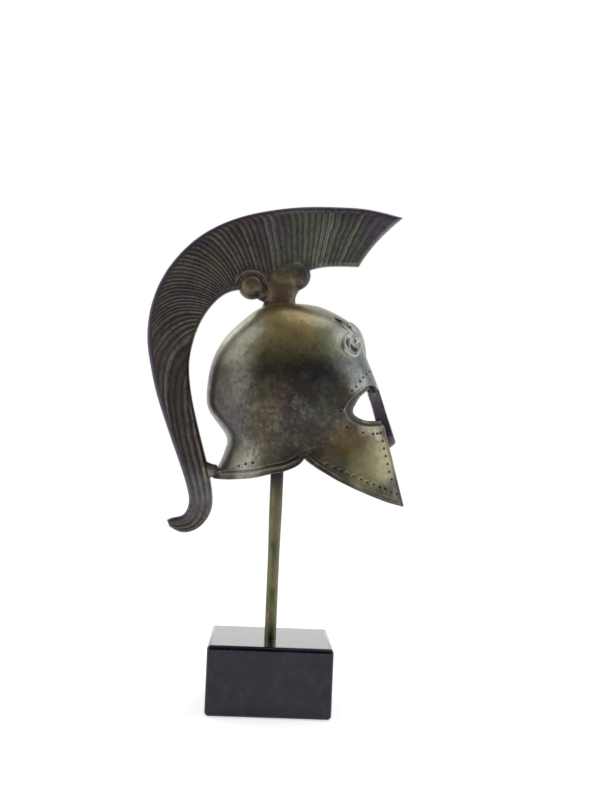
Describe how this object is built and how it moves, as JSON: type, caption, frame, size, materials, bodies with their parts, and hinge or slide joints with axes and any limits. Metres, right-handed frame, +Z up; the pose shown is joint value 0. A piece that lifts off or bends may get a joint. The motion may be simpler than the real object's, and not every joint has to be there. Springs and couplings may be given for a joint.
{
  "type": "greek bronze helmet and display stand",
  "caption": "Small cast bronze Corinthian-style helmet with a tall combed crest curling down to its neck guard, held on a rod that stands in a polished black stone block.",
  "frame": {"origin": "centre of the stone block's underside", "axes": "+X the way the helmet faces, +Z up along the rod, +Y across; the plane y = 0 is the helmet's plane of symmetry"},
  "size_m": [0.1172, 0.0564, 0.2234],
  "materials": {
    "black_marble": null,
    "rod_bronze": "olive-gold aged bronze, semi-gloss, darker towards the top",
    "helmet_bronze": "aged bronze, semi-gloss, mottled green-brown with black-violet patches",
    "crest_bronze": "aged bronze, grey-green ridges over dark furrows"
  },
  "bodies": {
    "root": {"base": "black_marble", "rod": "rod_bronze", "helmet": "helmet_bronze", "crest": "crest_bronze"}
  },
  "joints": []
}
